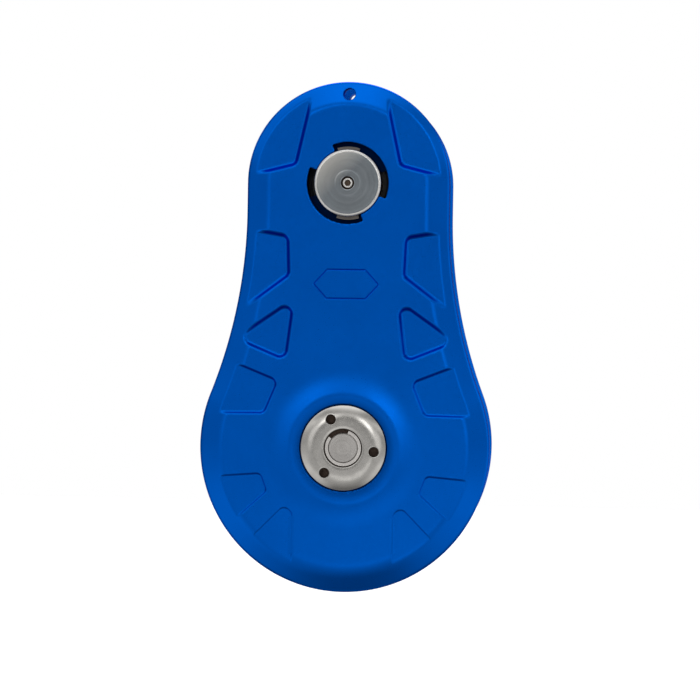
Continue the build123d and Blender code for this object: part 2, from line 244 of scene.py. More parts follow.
def loop_distance(x, z, loop):
    """Distance from points to a closed loop."""
    nearest = np.full(x.shape, np.inf)
    for a, b in zip(loop, np.roll(loop, -1, axis=0)):
        nearest = np.minimum(nearest, segment_distance(x, z, a, b))
    return nearest


def inside_loop(x, z, loop):
    """Whether points lie inside a closed loop."""
    inside = np.zeros(x.shape, bool)
    for (x0, z0), (x1, z1) in zip(loop, np.roll(loop, -1, axis=0)):
        if z0 != z1:
            crosses = (z0 > z) != (z1 > z)
            inside ^= crosses & (x < x0 + (z - z0) * (x1 - x0) / (z1 - z0))
    return inside


def convex_distance(x, z, corners, radius):
    """Signed distance to a convex outline with rounded corners, negative inside."""
    points = np.array(corners)
    sides = np.roll(points, -1, axis=0) - points
    sides /= np.hypot(*sides.T)[:, None]
    inward = np.column_stack([-sides[:, 1], sides[:, 0]])
    if ((points.mean(0) - points[0]) @ inward[0]) < 0:
        inward = -inward
    reach = (points * inward).sum(1) + radius
    before = np.roll(inward, 1, axis=0)
    meeting = zip(before, inward, np.roll(reach, 1), reach)
    shrunk = [np.linalg.solve([n0, n1], [r0, r1]) for n0, n1, r0, r1 in meeting]
    outside = np.max([r - (x * n[0] + z * n[1]) for n, r in zip(inward, reach)], axis=0)
    return np.where(outside > 0, loop_distance(x, z, np.array(shrunk)), outside) - radius


def soft_min(a, b, reach):
    """The lower of two heights, blended where they are within reach of each other."""
    blend = np.maximum(reach - np.abs(a - b), 0) / reach
    return np.minimum(a, b) - blend**2 * reach / 4


def soft_max(a, b, reach):
    """The higher of two heights, blended."""
    return -soft_min(-a, -b, reach)


def edge_drop(distance, radius):
    """How far a rounded edge falls away at a distance from the edge."""
    run = np.clip(radius - distance, 0, radius)
    return radius - np.sqrt(radius**2 - run**2)


def smooth_step(t):
    """0 to 1 with level ends."""
    t = np.clip(t, 0, 1)
    return t * t * (3 - 2 * t)


# ======================= relief surfaces =======================


def refined_points(height, low, high, coarse, fine, tolerance):
    """Sample points, closer together where the height bends more."""
    xs, zs = np.arange(low[0], high[0], coarse), np.arange(low[1], high[1], coarse)
    cells = np.array([(x, z) for x in xs for z in zs])
    steps = np.array([(i, j) for i in (0, 0.5, 1) for j in (0, 0.5, 1)])
    size, found = coarse, []
    while len(cells):
        grid = cells[:, None] + size * steps
        w = height(grid[..., 0].ravel(), grid[..., 1].ravel()).reshape(-1, 9)
        left_low, left_high, right_low, right_high = w[:, 0], w[:, 2], w[:, 6], w[:, 8]
        bends = [
            w[:, 1] - (left_low + left_high) / 2,
            w[:, 3] - (left_low + right_low) / 2,
            w[:, 5] - (left_high + right_high) / 2,
            w[:, 7] - (right_low + right_high) / 2,
            w[:, 4] - (left_low + left_high + right_low + right_high) / 4,
        ]
        error = np.max(np.abs(bends), axis=0)
        split = (error > tolerance) & (size > fine)
        found.append(grid[~split][:, [0, 2, 4, 6, 8]].reshape(-1, 2))
        quarters = size * np.array([(0, 0), (0, 0.5), (0.5, 0), (0.5, 0.5)])
        cells = (cells[split][:, None] + quarters).reshape(-1, 2)
        size /= 2
    return np.unique(np.round(np.vstack(found), 4), axis=0)


def triangulated(outer, holes, extra=None):
    """Triangles between an outer loop and holes, with extra points inside: (points, triangles)."""
    loops = [outer, *holes]
    edges, first = [], 0
    for loop in loops:
        ids = np.arange(len(loop)) + first
        edges += list(zip(ids.tolist(), np.roll(ids, -1).tolist()))
        first += len(loop)
    points = np.vstack(loops if extra is None else [*loops, extra])
    made = geometry.delaunay_2d_cdt([Vector(p) for p in points.tolist()], edges, [], 0, 1e-5)
    flat, triangles = np.array([tuple(v) for v in made[0]]), np.array(made[2])
    x, z = flat[triangles].mean(1).T
    keep = inside_loop(x, z, outer)
    for hole in holes:
        keep &= ~inside_loop(x, z, hole)
    return flat, triangles[keep]


class Shell:
    """Faces of one closed solid, gathered in plan and turned into a mesh at the end."""

    def __init__(self):
        self.points, self.faces, self.count = [], [], 0

    def add(self, points, faces):
        """Points as (x, z, w) rows, faces as rows of indices into them."""
        self.points.append(np.asarray(points, float))
        self.faces += (np.asarray(faces) + self.count).tolist()
        self.count += len(points)

    def relief(self, outer, holes, height, extra):
        """A surface between loops whose w is a function of the place."""
        plan, triangles = triangulated(outer, holes, extra)
        self.add(np.column_stack([plan, height(*plan.T)]), triangles)

    def flat(self, outer, holes, w):
        """A level surface between loops."""
        plan, triangles = triangulated(outer, holes)
        self.add(np.column_stack([plan, np.full(len(plan), float(w))]), triangles)

    def strip(self, *levels):
        """Quads between loops of as many points each, given as (loop, w) pairs."""
        count = len(levels[0][0])
        rows = [np.column_stack([loop, np.broadcast_to(w, count)]) for loop, w in levels]
        ids, after = np.arange(count), np.roll(np.arange(count), -1)
        quads = np.column_stack([ids, after, after + count, ids + count])
        faces = np.vstack([quads + count * level for level in range(len(rows) - 1)])
        self.add(np.vstack(rows), faces)

    def object(self, name, side, sharp=32):
        """The finished mesh object on one side of the middle plane, in metres."""
        x, z, w = np.vstack(self.points).T
        mesh = bpy.data.meshes.new(name)
        mesh.from_pydata(np.column_stack([x, side * w, z]) * MM, [], self.faces)
        weld_and_orient(mesh)
        mesh.shade_smooth()
        mesh.set_sharp_from_angle(angle=math.radians(sharp))
        piece = bpy.data.objects.new(name, mesh)
        bpy.context.scene.collection.objects.link(piece)
        return piece


def weld_and_orient(mesh):
    """Joins the shell's faces along their shared edges, and points them all outwards."""
    bm = bmesh.new()
    bm.from_mesh(mesh)
    bmesh.ops.remove_doubles(bm, verts=bm.verts, dist=3e-6)
    bmesh.ops.dissolve_degenerate(bm, dist=1e-7, edges=bm.edges)
    bmesh.ops.recalc_face_normals(bm, faces=bm.faces)
    if bm.calc_volume(signed=True) < 0:
        bmesh.ops.reverse_faces(bm, faces=bm.faces)
    bm.to_mesh(mesh)
    bm.free()


def edge_rings(loop, radius, into_left=True):
    """Extra points along a rounded edge, so that its curve is smooth."""
    side = 1 if into_left else -1
    return [offset(loop, side * radius * (1 - math.cos(math.radians(a)))) for a in (20, 38, 56, 74, 90)]


# ======================= cheek plates =======================


def swell(x, z):
    """Height of the swell round the hub above the plate's face."""
    radius = np.hypot(x, z)
    out = np.clip(SWELL_FOOT_R - radius, 0, SWELL_FOOT_R - SWELL_SHOULDER_R)
    foot = SWELL_FOOT_ARC - np.sqrt(SWELL_FOOT_ARC**2 - out**2)
    away = np.clip(radius - SWELL_CREST_R, HUB_R - SWELL_CREST_R, SWELL_SHOULDER_R - SWELL_CREST_R)
    arc_radius = np.where(away > 0, SWELL_CREST_ARC, SWELL_INNER_ARC)
    crest = SWELL_CREST_RISE - arc_radius + np.sqrt(arc_radius**2 - away**2)
    return np.where(radius > SWELL_SHOULDER_R, foot, crest)


def plate_face(x, z):
    """Height of the plate's outer side: face, flank, pockets, swell round the hub and badge line."""
    flank = FACE - FLANK_DROP * (1 - outline_distance(x, z) / FLANK_WIDTH)
    softness = CREASE_SOFTNESS + CREASE_ADDED * smooth_step((CREASE_START_Z - z) / CREASE_RUN)
    w = soft_min(np.full(x.shape, FACE), flank, softness)
    for depth, corner_radius, corners in POCKETS:
        inside = convex_distance(-np.abs(x), z, corners, corner_radius)
        floor = FACE - depth
        reach = FILLET_LEAST + FILLET_SHARE * depth
        slope = max(WALL_SLOPE, depth / WALL_WIDTH)
        wall = soft_max(np.full(x.shape, floor), floor + slope * inside + depth / 2, reach)
        climbed = np.clip((wall - floor) / (FILLET_SHARE * depth), 0, 1)
        brow = BROW_LEAST + (reach - BROW_LEAST) * climbed
        w = soft_min(w, wall, brow)
    w = w + swell(x, z)
    near_badge = (np.abs(x) < BADGE_NEAR_X) & (np.abs(z - BADGE_Z) < BADGE_NEAR_Z)
    line = np.full(x.shape, np.inf)
    line[near_badge] = loop_distance(x[near_badge], z[near_badge], np.array(BADGE))
    return w - BADGE_DEPTH * smooth_step(1 - line / BADGE_HALF_LINE)


def badge_points():
    """Extra points along the badge line, so that it is cut cleanly."""
    corners = np.array(BADGE)
    steps = np.linspace(0, 1, 24, endpoint=False)[:, None]
    loop = np.vstack([a + steps * (b - a) for a, b in zip(corners, np.roll(corners, -1, axis=0))])
    return [offset(loop, BADGE_HALF_LINE * k) for k in (-1.05, -0.6, -0.3, 0, 0.3, 0.6, 1.05)]


def plate_height(outer, edges):
    """plate_face with its edges rounded: edges are (loop, radius) pairs, the outline's among them."""

    def height(x, z):
        w = plate_face(x, z)
        for loop, radius in edges:
            if loop is outer:
                near_arc = np.abs(np.hypot(x, z) - STUD_Z) < SLOT_HALF + 2
                in_slot = near_arc & (z > SLOT_LOW_Z) & (x < SLOT_END_X)
                near = (outline_distance(x, z) < radius + 0.5) | in_slot
            else:
                low, high = loop.min(0) - radius, loop.max(0) + radius
                near = (x > low[0]) & (x < high[0]) & (z > low[1]) & (z < high[1])
            if near.any():
                w[near] -= edge_drop(loop_distance(x[near], z[near], loop), radius)
        return w

    return height


def cheek(name, side, outer, openings):
    """One plate as a closed shell. openings are (top loop, bottom loop) pairs cut right through."""
    shell = Shell()
    hub_hole = circle((0, 0), HUB_HOLE_R, 120)
    lanyard = circle((0, LANYARD_Z), LANYARD_R, 36)
    holes = [(hub_hole, HUB_HOLE_ROUND), (lanyard, HOLE_ROUND)]
    holes += [(top, HOLE_ROUND) for top, _ in openings]
    edges = [(outer, LAND_ROUND), *holes]
    height = plate_height(outer, edges)
    rings = edge_rings(outer, LAND_ROUND) + badge_points()
    for loop, radius in holes:
        rings += edge_rings(loop, radius, False)
    low, high = outer.min(0) - 1, outer.max(0) + 1
    points = refined_points(height, low, high, coarse=2.0, fine=0.25, tolerance=0.010)
    points = points[inside_loop(*points.T, outer)]
    for loop, radius in edges:
        clear = loop_distance(*points.T, loop) > radius
        if loop is not outer:
            clear &= ~inside_loop(*points.T, loop)
        points = points[clear]
    line = loop_distance(*points.T, np.array(BADGE))
    points = points[line > 1.3 * BADGE_HALF_LINE]
    shell.relief(outer, [loop for loop, _ in holes], height, np.vstack([points, *rings]))
    inner_rim = offset(outer, INNER_CHAMFER)
    shell.strip((outer, height(*outer.T)), (outer, INNER + INNER_CHAMFER), (inner_rim, INNER))
    recess = circle((0, 0), RECESS_R, 180)
    bore_radius = BOSS_R if side == FRONT else BUSH_R
    bore = circle((0, 0), bore_radius, 120)
    shell.strip((lanyard, height(*lanyard.T)), (lanyard, INNER))
    for top, bottom in openings:
        shell.strip((top, height(*top.T)), (top, LEDGE_W))
        shell.flat(top, [bottom], LEDGE_W)
        shell.strip((bottom, LEDGE_W), (bottom, INNER))
    shell.flat(inner_rim, [recess, lanyard] + [bottom for _, bottom in openings], INNER)
    shell.strip((recess, INNER), (recess, RECESS_W))
    shell.flat(recess, [bore], RECESS_W)
    shell.strip((bore, RECESS_W), (bore, SEAT_W), (hub_hole, SEAT_W))
    shell.strip((hub_hole, SEAT_W), (hub_hole, height(*hub_hole.T)))
    return shell.object(name, side)


def front_plate():
    """The fixed plate with the bayonet opening."""
    bore, notch = BORE_R - OPENING_STEP, NOTCH_R - OPENING_STEP
    top = bayonet([(NOTCH_R, -22, 113), (BORE_R, 113, 158), (NOTCH_R, 158, 293), (BORE_R, 293, 338)])
    bottom = bayonet([(notch, -21.9, 20), (bore, 20, 158.1), (notch, 158.1, 200), (bore, 200, 338.1)])
    return cheek("front_plate", FRONT, outline(), [(top, bottom)])


def rear_plate():
    """The swinging plate with the arc slot."""
    return cheek("rear_plate_skin", REAR, slotted_outline(), [])


# ======================= hub and button =======================


def spanner_centres():
    """The centres of a hub's spanner holes."""
    return [arc((0, 0), SPANNER_CIRCLE_R, angle, angle)[0] for angle in SPANNER_ANGLES]


def hub_height(x, z):
    """The hub's top: flat in the middle, domed to the rim, with broken edges."""
    radius = np.hypot(x, z)
    run, fall = HUB_R - HUB_FLAT_R, HUB_TOP - HUB_RIM
    dome_radius = (run**2 + fall**2) / (2 * fall)
    out = np.clip(radius - HUB_FLAT_R, 0, run)
    w = HUB_TOP - dome_radius + np.sqrt(dome_radius**2 - out**2)
    w -= edge_drop(np.maximum(HUB_R - radius, 0), HUB_ROUND)
    w -= edge_drop(radius - RING_RECESS_R, RING_RECESS_ROUND) * (radius >= RING_RECESS_R - 1e-6)
    for angle in SPANNER_ANGLES:
        hole = math.radians(angle)
        away = np.hypot(x - SPANNER_CIRCLE_R * math.cos(hole), z - SPANNER_CIRCLE_R * math.sin(hole))
        w -= edge_drop(np.maximum(away - SPANNER_R, 0), SPANNER_ROUND)
    return w


def hub(name, side):
    """A domed hub with three spanner holes and a recess for the snap ring."""
    shell = Shell()
    outer, recess = circle((0, 0), HUB_R, 120), circle((0, 0), RING_RECESS_R, 72)
    centres = spanner_centres()
    holes = [circle(c, SPANNER_R, 36) for c in centres]
    radii = (11.5, 12.2, 13.0, 13.8, 14.6, 15.3, 16.0, 16.6, 17.1, 17.5, 17.62, 17.75, 17.86, 17.95)
    rings = [circle((0, 0), r, 120) for r in radii]
    rings += [circle((0, 0), r, 72) for r in (8.03, 8.1, 8.2, 8.35, 9.4, 10.6)]
    rings += [circle(c, SPANNER_R + d, 36) for c in centres for d in (0.02, 0.06, 0.11, 0.18, 0.5)]
    extra = np.vstack(rings)
    x, z = extra.T
    keep = np.hypot(x, z) < HUB_R - 0.02
    for centre in centres:
        keep &= np.hypot(x - centre[0], z - centre[1]) > SPANNER_R + 0.01
    shell.relief(outer, [recess, *holes], hub_height, extra[keep])
    boss, bore = circle((0, 0), BOSS_R, 120), circle((0, 0), AXLE_HOLE_R, 72)
    shell.strip((outer, hub_height(*outer.T)), (outer, HUB_SEAT), (boss, HUB_SEAT), (boss, INNER))
    shell.flat(boss, [bore], INNER)
    recess_lip = hub_height(*recess.T)
    shell.strip((bore, INNER), (bore, RING_RECESS_W), (recess, RING_RECESS_W), (recess, recess_lip))
    for hole in holes:
        shell.strip((hole, hub_height(*hole.T)), (hole, SPANNER_W))
        shell.flat(hole, [], SPANNER_W)
    return shell.object(name, side, sharp=40)


def crown(radius):
    """Height of the button cap's domed top at a distance from its centre."""
    return CAP_TOP + CAP_CROWN * (1 - (radius / (CAP_R - CAP_RIM)) ** 2)


def button():
    """The lock button's turned cap: rounded rim, one shallow groove, counterbore for the screw."""
    back = [(SCREW_HOLE_R, CAP_BACK), (CAP_R - 0.3, CAP_BACK), (CAP_R, CAP_BACK + 0.3)]
    rim = [
        (CAP_R, CAP_TOP - CAP_CHAMFER),
        (CAP_R - 0.07, CAP_TOP - 0.48),
        (CAP_R - 0.26, CAP_TOP - 0.27),
        (CAP_R - 0.5, CAP_TOP - 0.12),
        (CAP_R - 0.78, CAP_TOP - 0.03),
        (CAP_R - CAP_RIM, CAP_TOP),
    ]
    dome = [(radius, crown(radius)) for radius in (12.6, 12, 11, 10, 9, 8, 7, 6.2, 5.75)]
    sunk_rings = ((5.6, 0.02), (5.4, 0.02), (5.25, 0), (4.2, 0))
    groove = [(radius, crown(radius) - sunk) for radius, sunk in sunk_rings]
    lip = crown(COUNTERBORE_R)
    counterbore = [
        (COUNTERBORE_R + 0.3, lip),
        (COUNTERBORE_R + 0.1, lip - 0.1),
        (COUNTERBORE_R, lip - 0.3),
        (COUNTERBORE_R, COUNTERBORE_W),
        (SCREW_HOLE_R, COUNTERBORE_W),
        (SCREW_HOLE_R, CAP_BACK),
    ]
    profile = back + rim + dome + groove + counterbore
    shell = Shell()
    shell.strip(*[(circle((0, STUD_Z), radius, 120), w) for radius, w in profile])
    return shell.object("turned_cap", FRONT, sharp=25)


# ======================= materials =======================


def new_material(name):
    """A new node material, its node tree and its Principled shader."""
    material = bpy.data.materials.new(name)
    material.use_nodes = True
    tree = material.node_tree
    return material, tree, tree.nodes["Principled BSDF"]


def node(tree, kind, **values):
    """A new node with its attributes and inputs set by name."""
    made = tree.nodes.new(kind)
    for key, value in values.items():
        if key in made.inputs:
            made.inputs[key].default_value = value
        else:
            setattr(made, key, value)
    return made


def noise(tree, place, scale, detail=2.0, roughness=0.5):
    """A noise texture in object space."""
    texture = node(tree, "ShaderNodeTexNoise", Scale=scale, Detail=detail, Roughness=roughness)
    tree.links.new(place, texture.inputs["Vector"])
    return texture.outputs["Fac"]


def ranged(tree, value, low, high, start=0.3, end=0.7):
    """Maps a texture's value onto low to high."""
    made = tree.nodes.new("ShaderNodeMapRange")
    for key, number in zip(("From Min", "From Max", "To Min", "To Max"), (start, end, low, high)):
        made.inputs[key].default_value = number
    tree.links.new(value, made.inputs["Value"])
    return made.outputs["Result"]


def bump(tree, shader, value, distance, strength):
    """Gives a shader a bump of a given height in metres."""
    made = node(tree, "ShaderNodeBump", Strength=strength, Distance=distance)
    tree.links.new(value, made.inputs["Height"])
    tree.links.new(made.outputs["Normal"], shader.inputs["Normal"])


def scaled(colour, factor):
    """A colour with each of its parts multiplied."""
    return tuple(factor * part for part in colour)


def mixed(tree, value, first, second):
    """A colour between two by a texture's value; the first may be another node's output."""
    made = tree.nodes.new("ShaderNodeMix")
    made.data_type = "RGBA"
    if isinstance(first, tuple):
        made.inputs["A"].default_value = (*first, 1)
    else:
        tree.links.new(first, made.inputs["A"])
    made.inputs["B"].default_value = (*second, 1)
    tree.links.new(value, made.inputs["Factor"])
    return made.outputs["Result"]


def object_place(tree):
    """Object coordinates, which are the row frame's, in metres."""
    return tree.nodes.new("ShaderNodeTexCoord").outputs["Object"]


def anodised_blue(name, darker, lighter):
    """Bead-blasted aluminium, anodised: fine grain, faint clouds, and a ring of painted shade round the hub.
    """
    material, tree, shader = new_material(name)
    place = object_place(tree)
    clouds = ranged(tree, noise(tree, place, 45.0, 3.0), 0, 1)
    clean = mixed(tree, clouds, darker, lighter)
    ring = node(tree, "ShaderNodeVectorMath", operation="MULTIPLY")
    ring.inputs[1].default_value = (1, 0, 1)
    tree.links.new(place, ring.inputs[0])
    radius = node(tree, "ShaderNodeVectorMath", operation="LENGTH")
    tree.links.new(ring.outputs["Vector"], radius.inputs[0])
    # painted shade: darker towards the hub, where the hub shades the plate
    hub_shade_amount = ranged(tree, radius.outputs["Value"], 1, 0, HUB_R * MM, (HUB_R + HUB_SHADE_RING) * MM)
    hub_shade_colour = scaled(darker, HUB_SHADE_SHARE)
    tree.links.new(mixed(tree, hub_shade_amount, clean, hub_shade_colour), shader.inputs["Base Color"])
    shader.inputs["Metallic"].default_value = 1.0
    shader.inputs["Specular Tint"].default_value = (0.15, 0.35, 0.8, 1.0)
    grain = noise(tree, place, 2600.0, 2.0, 0.6)
    tree.links.new(ranged(tree, grain, 0.27, 0.34), shader.inputs["Roughness"])
    bump(tree, shader, grain, 0.000028, 0.5)
    return material


def satin_steel(name, colour, rough, scale=900.0, depth=0.000008):
    """Stainless steel with fine random tool marks and faint stains."""
    material, tree, shader = new_material(name)
    place = object_place(tree)
    stains = ranged(tree, noise(tree, place, 180.0, 4.0, 0.6), 0, 1)
    darker = scaled(colour, 0.86)
    tree.links.new(mixed(tree, stains, darker, colour), shader.inputs["Base Color"])
    shader.inputs["Metallic"].default_value = 1.0
    grain = noise(tree, place, scale, 3.0, 0.6)
    tree.links.new(ranged(tree, grain, rough * 0.8, rough * 1.25), shader.inputs["Roughness"])
    bump(tree, shader, grain, depth, 0.6)
    return material


def turned_steel(name, centre_z, colour, highlight_colour, rough):
    """Steel faced on a lathe: rings about an axis along y at a height, with a painted highlight on the upper
    left.
    """
    material, tree, shader = new_material(name)
    place = object_place(tree)
    shift = tree.nodes.new("ShaderNodeMapping")
    shift.inputs["Location"].default_value = (0, 0, -centre_z * MM)
    tree.links.new(place, shift.inputs["Vector"])
    parts = tree.nodes.new("ShaderNodeSeparateXYZ")
    tree.links.new(shift.outputs["Vector"], parts.inputs["Vector"])
    flat = tree.nodes.new("ShaderNodeCombineXYZ")
    tree.links.new(parts.outputs["X"], flat.inputs["X"])
    tree.links.new(parts.outputs["Z"], flat.inputs["Y"])
    length = node(tree, "ShaderNodeVectorMath", operation="LENGTH")
    tree.links.new(flat.outputs["Vector"], length.inputs[0])
    radial = tree.nodes.new("ShaderNodeCombineXYZ")
    tree.links.new(length.outputs["Value"], radial.inputs["X"])
    rings = noise(tree, radial.outputs["Vector"], 3000.0, 4.0, 0.7)
    wide_rings = noise(tree, radial.outputs["Vector"], 700.0, 2.0, 0.5)
    patches = noise(tree, place, 90.0, 3.0, 0.55)
    both = node(tree, "ShaderNodeMath", operation="ADD")
    tree.links.new(wide_rings, both.inputs[0])
    tree.links.new(patches, both.inputs[1])
    tint = ranged(tree, both.outputs["Value"], 0, 1, 0.75, 1.25)
    # painted highlight: lighter towards the upper left, as if lit from there
    lean = node(tree, "ShaderNodeVectorMath", operation="DOT_PRODUCT")
    lean.inputs[1].default_value = (-50, 0, 50)
    tree.links.new(shift.outputs["Vector"], lean.inputs[0])
    painted_highlight = ranged(tree, lean.outputs["Value"], 0, 1, 0.15, 0.95)
    darker = scaled(colour, 0.80)
    stained = mixed(tree, tint, darker, colour)
    tree.links.new(mixed(tree, painted_highlight, stained, highlight_colour), shader.inputs["Base Color"])
    shader.inputs["Metallic"].default_value = 1.0
    shader.inputs["Anisotropic"].default_value = 0.4
    tangent = node(tree, "ShaderNodeTangent", direction_type="RADIAL", axis="Y")
    tree.links.new(tangent.outputs["Tangent"], shader.inputs["Tangent"])
    tree.links.new(ranged(tree, rings, rough * 0.8, rough * 1.3), shader.inputs["Roughness"])
    bump(tree, shader, rings, 0.000002, 0.5)
    return material


def polymer(name, colour, rough):
    """Moulded bearing plastic or rubber."""
    material, tree, shader = new_material(name)
    place = object_place(tree)
    patches = ranged(tree, noise(tree, place, 220.0, 3.0), 0, 1)
    lighter = tuple(min(1.0, 1.25 * c + 0.004) for c in colour)
    tree.links.new(mixed(tree, patches, colour, lighter), shader.inputs["Base Color"])
    grain = noise(tree, place, 1800.0, 2.0)
    tree.links.new(ranged(tree, grain, rough * 0.85, min(1.0, rough * 1.15)), shader.inputs["Roughness"])
    bump(tree, shader, grain, 0.00001, 0.5)
    return material


def shaded_socket_screw():
    """A plated screw with painted shade in its socket: dark below the head's top face."""
    material, tree, shader = new_material("shaded_socket_screw")
    place = object_place(tree)
    parts = tree.nodes.new("ShaderNodeSeparateXYZ")
    tree.links.new(place, parts.inputs["Vector"])
    # painted shade: darker below the head's top face, down into the socket
    depth = ranged(tree, parts.outputs["Y"], 0, 1, -SCREW_BRIGHT_W * MM, -SCREW_DARK_W * MM)
    stains = noise(tree, place, 1500.0, 3.0)
    tint = tree.nodes.new("ShaderNodeMix")
    tint.data_type = "RGBA"
    tree.links.new(depth, tint.inputs["Factor"])
    tree.links.new(mixed(tree, stains, (0.66, 0.64, 0.61), (0.84, 0.82, 0.79)), tint.inputs["A"])
    tree.links.new(mixed(tree, stains, (0.05, 0.035, 0.025), (0.12, 0.09, 0.07)), tint.inputs["B"])
    tree.links.new(tint.outputs["Result"], shader.inputs["Base Color"])
    shader.inputs["Metallic"].default_value = 1.0
    tree.links.new(ranged(tree, stains, 0.22, 0.34), shader.inputs["Roughness"])
    bump(tree, shader, stains, 0.000006, 0.5)
    return material


def cast_aluminium(name, colour, rough):
    """Turned and anodised aluminium: clear, or near-black where it stands for painted shade."""
    return satin_steel(name, colour, rough, 1300.0, 0.00001)


# ======================= build =======================


def paint(piece, material):
    """Gives a piece one material."""
    piece.data.materials.clear()
    piece.data.materials.append(material)


def paint_within(piece, material, centre, radius, top):
    """Gives one more material to the faces near an axis along y, as far out as a height."""
    piece.data.materials.append(material)
    index = len(piece.data.materials) - 1
    for face in piece.data.polygons:
        x, y, z = face.center / MM
        if math.hypot(x - centre[0], z - centre[1]) < radius and abs(y) < top:
            face.material_index = index


blue = anodised_blue("anodised_blue", (0.0, 0.092, 0.485), (0.0, 0.100, 0.525))
# near-black blue: painted shade for the walls and ledge inside the bayonet opening
opening_shade_blue = anodised_blue("opening_shade_blue", (0.0, 0.006, 0.030), (0.0, 0.008, 0.040))
# dark brown steel: painted shade inside the spanner holes, the snap ring recess and the counterbore
recess_shade_brown = satin_steel("recess_shade_brown", (0.055, 0.040, 0.032), 0.5)
hub_steel = satin_steel("hub_steel", (0.47, 0.455, 0.43), 0.19, 500.0, 0.000002)
cap_steel = turned_steel("cap_steel", STUD_Z, (0.275, 0.305, 0.33), (0.56, 0.545, 0.51), 0.20)
# a lighter copy of the cap's steel: painted highlight on the cap's rounded rim
rim_highlight_steel = satin_steel("rim_highlight_steel", (0.64, 0.63, 0.61), 0.28)
collar_steel = satin_steel("collar_steel", (0.15, 0.135, 0.125), 0.38)
axle_steel = turned_steel("axle_steel", 0.0, (0.47, 0.45, 0.43), (0.56, 0.54, 0.51), 0.28)
stud_steel = satin_steel("stud_steel", (0.42, 0.40, 0.38), 0.32)
ring_steel = satin_steel("ring_steel", (0.68, 0.65, 0.62), 0.26)
screw_steel = satin_steel("screw_steel", (0.72, 0.70, 0.68), 0.20)
black_plastic = polymer("black_plastic", (0.012, 0.012, 0.013), 0.5)
seal_rubber = polymer("seal_rubber", (0.008, 0.008, 0.008), 0.7)
pale_plastic = polymer("pale_plastic", (0.62, 0.60, 0.55), 0.45)
sheave_metal = cast_aluminium("sheave_metal", (0.50, 0.51, 0.53), 0.33)
# near-black: painted shade on the sling bushing, which is seen in shadow through the opening's notches
spool_shade_metal = cast_aluminium("spool_shade_metal", (0.014, 0.014, 0.016), 0.42)

NODE_MATERIALS = {
    "rear_cheek_bush": black_plastic,
    "main_axle": axle_steel,
    "front_snap_ring": ring_steel,
    "rear_snap_ring": ring_steel,
    "bearing_inner_race": ring_steel,
    "bearing_outer_race": ring_steel,
    "needle_rollers": screw_steel,
    "roller_cage": black_plastic,
    "front_bearing_seal": seal_rubber,
    "rear_bearing_seal": seal_rubber,
    "front_thrust_washer": pale_plastic,
    "rear_thrust_washer": pale_plastic,
    "sheave": sheave_metal,
    "lock_stud": stud_steel,
    "lug_collar": collar_steel,
    "collar_pin": ring_steel,
    "cap_screw": shaded_socket_screw(),
    "spring_seat": ring_steel,
    "lock_spring": ring_steel,
    "stud_sleeve": stud_steel,
    "sling_bushing": spool_shade_metal,
    "bushing_liner": black_plastic,
}
for name, material in NODE_MATERIALS.items():
    paint(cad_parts[name], material)

made_pieces = [
    (front_plate(), "front_cheek", "frame", "anodised_plate", blue),
    (rear_plate(), "rear_cheek", "rear_plate", "anodised_plate", blue),
    (hub("front_hub_dome", FRONT), "front_hub", "frame", "hub_steel", hub_steel),
    (hub("rear_hub_dome", REAR), "rear_hub", "frame", "hub_steel", hub_steel),
    (button(), "button_cap", "lock_button", "turned_steel", cap_steel),
]
for piece, cad_node, body, slot, material in made_pieces:
    paint(piece, material)
    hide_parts(cad_node)
    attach(piece, body)
front_skin, _, front_dome, rear_dome, turned_cap = [row[0] for row in made_pieces]
# painted shade in the hubs' spanner holes and snap ring recess, below their lips
for dome in (front_dome, rear_dome):
    for hole in spanner_centres():
        paint_within(dome, recess_shade_brown, hole, SPANNER_R + WALL_REACH, SPANNER_SHADE_W)
    paint_within(dome, recess_shade_brown, (0, 0), RING_RECESS_R + WALL_REACH, HUB_TOP - 0.5)
# the opening's walls and ledge take the painted shade
paint_within(front_skin, opening_shade_blue, (0, STUD_Z), NOTCH_R + WALL_REACH, FACE - 0.6)
# painted shade in the cap's counterbore
cap_shade_w = CAP_TOP + CAP_CROWN - 0.35
# the cap's rounded rim takes the painted highlight; its face goes back to cap_steel
paint_within(turned_cap, rim_highlight_steel, (0, STUD_Z), CAP_R + 1, math.inf)
paint_within(turned_cap, cap_steel, (0, STUD_Z), CAP_R - CAP_RIM + 0.01, math.inf)
paint_within(turned_cap, recess_shade_brown, (0, STUD_Z), COUNTERBORE_R + WALL_REACH, cap_shade_w)

# Edges of CAD pieces that are seen from outside, and how wide their bevels are in millimetres.
BEVELS = {"front_snap_ring": 0.2, "rear_snap_ring": 0.2, "lug_collar": 0.25, "main_axle": 0.22}
for name, width in BEVELS.items():
    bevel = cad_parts[name].modifiers.new("edges", "BEVEL")
    bevel.width, bevel.segments, bevel.limit_method = width * MM, 2, "ANGLE"


# ======================= studio =======================


FLOOR_HALF, FLOOR_Z = 6.0, -0.45  # metres


def floor():
    """A plain pale floor, well below the block, which hangs free."""
    signs = ((-1, -1), (1, -1), (1, 1), (-1, 1))
    corners = [(x * FLOOR_HALF, y * FLOOR_HALF, FLOOR_Z) for x, y in signs]
    mesh = bpy.data.meshes.new("floor")
    mesh.from_pydata(corners, [], [(0, 1, 2, 3)])
    plane = bpy.data.objects.new("floor", mesh)
    bpy.context.scene.collection.objects.link(plane)
    material, tree, shader = new_material("floor_paint")
    shader.inputs["Roughness"].default_value = 0.9
    patches = ranged(tree, noise(tree, object_place(tree), 3.0), 0, 1)
    tree.links.new(mixed(tree, patches, (0.93, 0.93, 0.93), (0.95, 0.95, 0.95)), shader.inputs["Base Color"])
    shader.inputs["Emission Color"].default_value = (1.0, 1.0, 1.0, 1.0)
    shader.inputs["Emission Strength"].default_value = 0.3
    mesh.materials.append(material)
    plane.visible_glossy = False
    plane.visible_diffuse = False


